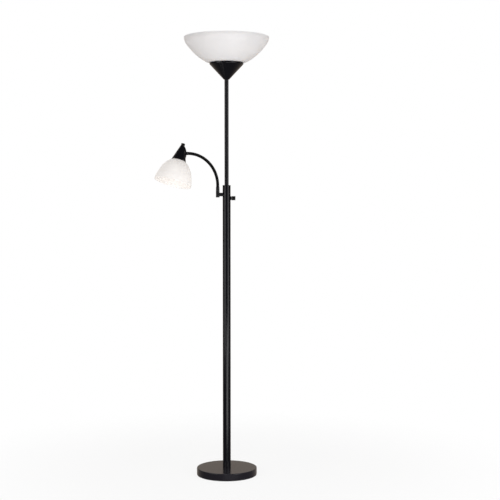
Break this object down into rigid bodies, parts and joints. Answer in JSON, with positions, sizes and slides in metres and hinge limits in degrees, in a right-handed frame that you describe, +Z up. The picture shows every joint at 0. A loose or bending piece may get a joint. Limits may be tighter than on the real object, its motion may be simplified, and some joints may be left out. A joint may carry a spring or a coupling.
{
  "type": "torchiere floor lamp",
  "caption": "Black pole torchiere with an upturned white bowl shade, and a small reading light with a white shade on a flexible neck.",
  "frame": {"origin": "centre of the base pad's floor face, on the pole's axis", "axes": "+Z up along the pole, -Y the front of the lamp, -X the side of the reading light"},
  "size_m": [0.4628, 0.3484, 1.8005],
  "materials": {
    "satin_black_metal": "satin black powder coat",
    "neck_black": "satin black, close wound spiral",
    "white_shade": "translucent white, satin",
    "black_plastic": "moulded black",
    "socket_phenolic": "moulded phenolic",
    "shade_ring_plastic": "moulded off-white",
    "brass_contact": "bright",
    "zinc_steel": "zinc plated",
    "cast_weight": "rough cast",
    "felt_pad": "pressed felt",
    "bulb_glass": "frosted white",
    "bulb_cap": "plain",
    "lead_sheath": "smooth",
    "grommet_rubber": "matt"
  },
  "bodies": {
    "lamp_stand": {"base_pad": "felt_pad", "base_plate": "zinc_steel", "base_cover": "satin_black_metal", "base_weight": "cast_weight", "base_washer": "zinc_steel", "base_nut": "zinc_steel", "cord_grommet": "grommet_rubber", "pole_stud": "zinc_steel", "pole_foot_bush": "zinc_steel", "lower_pole_bottom": "satin_black_metal", "pole_joiner": "zinc_steel", "lower_pole_top": "satin_black_metal", "reducer_cap": "satin_black_metal", "upper_pole": "satin_black_metal", "upper_pole_bush": "zinc_steel", "top_nipple": "zinc_steel", "top_cone": "satin_black_metal", "top_nut": "zinc_steel", "top_socket_body": "socket_phenolic", "top_socket_shell": "brass_contact", "top_contact": "brass_contact", "top_bulb_base": "bulb_cap", "top_bulb_glass": "bulb_glass", "top_shade": "white_shade", "top_shade_ring": "shade_ring_plastic", "switch_body": "black_plastic", "switch_nut": "satin_black_metal", "arm_stub": "satin_black_metal", "stub_nut": "zinc_steel", "swivel_cup": "satin_black_metal", "swivel_clip": "zinc_steel", "top_lead": "lead_sheath", "neck_lead": "lead_sheath"},
    "pole_switch_rotor": {"switch_shaft": "black_plastic", "switch_knob": "black_plastic"},
    "neck_root": {"neck_ferrule": "satin_black_metal"},
    "neck_1": {"neck_link_1": "neck_black"},
    "neck_2": {"neck_link_2": "neck_black"},
    "neck_3": {"neck_link_3": "neck_black"},
    "neck_4": {"neck_link_4": "neck_black"},
    "neck_5": {"neck_link_5": "neck_black"},
    "neck_6": {"neck_link_6": "neck_black"},
    "neck_7": {"neck_link_7": "neck_black", "neck_end_nut": "zinc_steel"},
    "reading_head": {"head_cone": "satin_black_metal", "swivel_washer": "zinc_steel", "head_bracket": "zinc_steel", "head_socket_body": "socket_phenolic", "head_socket_shell": "brass_contact", "head_contact": "brass_contact", "head_bulb_base": "bulb_cap", "head_bulb_glass": "bulb_glass", "head_shade": "white_shade", "head_shade_ring": "shade_ring_plastic", "head_switch_body": "black_plastic", "head_switch_nut": "zinc_steel", "head_lead": "lead_sheath"},
    "head_switch_rotor": {"head_switch_shaft": "brass_contact", "head_switch_knob": "black_plastic"}
  },
  "joints": [
    {"name": "pole_switch_turn", "type": "hinge", "parent": "lamp_stand", "child": "pole_switch_rotor", "pos_m": [0.025, 0, 1.1435], "axis": [1, 0, 0], "continuous": true},
    {"name": "neck_turn", "type": "hinge", "parent": "lamp_stand", "child": "neck_root", "pos_m": [-0.0365, 0, 1.1747], "axis": [0, 0, 1], "range_deg": [-90, 90]},
    {"name": "neck_bend_1", "type": "hinge", "parent": "neck_root", "child": "neck_1", "pos_m": [-0.0365, 0, 1.20976], "axis": [0.4226, -0.9063, 0], "range_deg": [-8, 4], "deforming": ["neck_lead"]},
    {"name": "neck_bend_2", "type": "hinge", "parent": "neck_1", "child": "neck_2", "pos_m": [-0.04237, -0.00274, 1.23814], "axis": [0.4226, -0.9063, 0], "range_deg": [-8, 4]},
    {"name": "neck_bend_3", "type": "hinge", "parent": "neck_2", "child": "neck_3", "pos_m": [-0.05382, -0.00808, 1.26437], "axis": [0.4226, -0.9063, 0], "range_deg": [-8, 4]},
    {"name": "neck_bend_4", "type": "hinge", "parent": "neck_3", "child": "neck_4", "pos_m": [-0.07027, -0.01575, 1.28714], "axis": [0.4226, -0.9063, 0], "range_deg": [-8, 4]},
    {"name": "neck_bend_5", "type": "hinge", "parent": "neck_4", "child": "neck_5", "pos_m": [-0.0909, -0.02537, 1.30529], "axis": [0.4226, -0.9063, 0], "range_deg": [-8, 4]},
    {"name": "neck_bend_6", "type": "hinge", "parent": "neck_5", "child": "neck_6", "pos_m": [-0.11468, -0.03645, 1.31792], "axis": [0.4226, -0.9063, 0], "range_deg": [-8, 4]},
    {"name": "neck_bend_7", "type": "hinge", "parent": "neck_6", "child": "neck_7", "pos_m": [-0.1404, -0.04845, 1.3244], "axis": [0.4226, -0.9063, 0], "range_deg": [-8, 4]},
    {"name": "head_swivel", "type": "hinge", "parent": "neck_7", "child": "reading_head", "pos_m": [-0.18377, -0.06868, 1.3244], "axis": [-0.9063, -0.4226, 0], "range_deg": [-70, 70]},
    {"name": "head_switch_turn", "type": "hinge", "parent": "reading_head", "child": "head_switch_rotor", "pos_m": [-0.17554, -0.06183, 1.35614], "axis": [0.2457, 0.2042, 0.9476], "continuous": true}
  ]
}
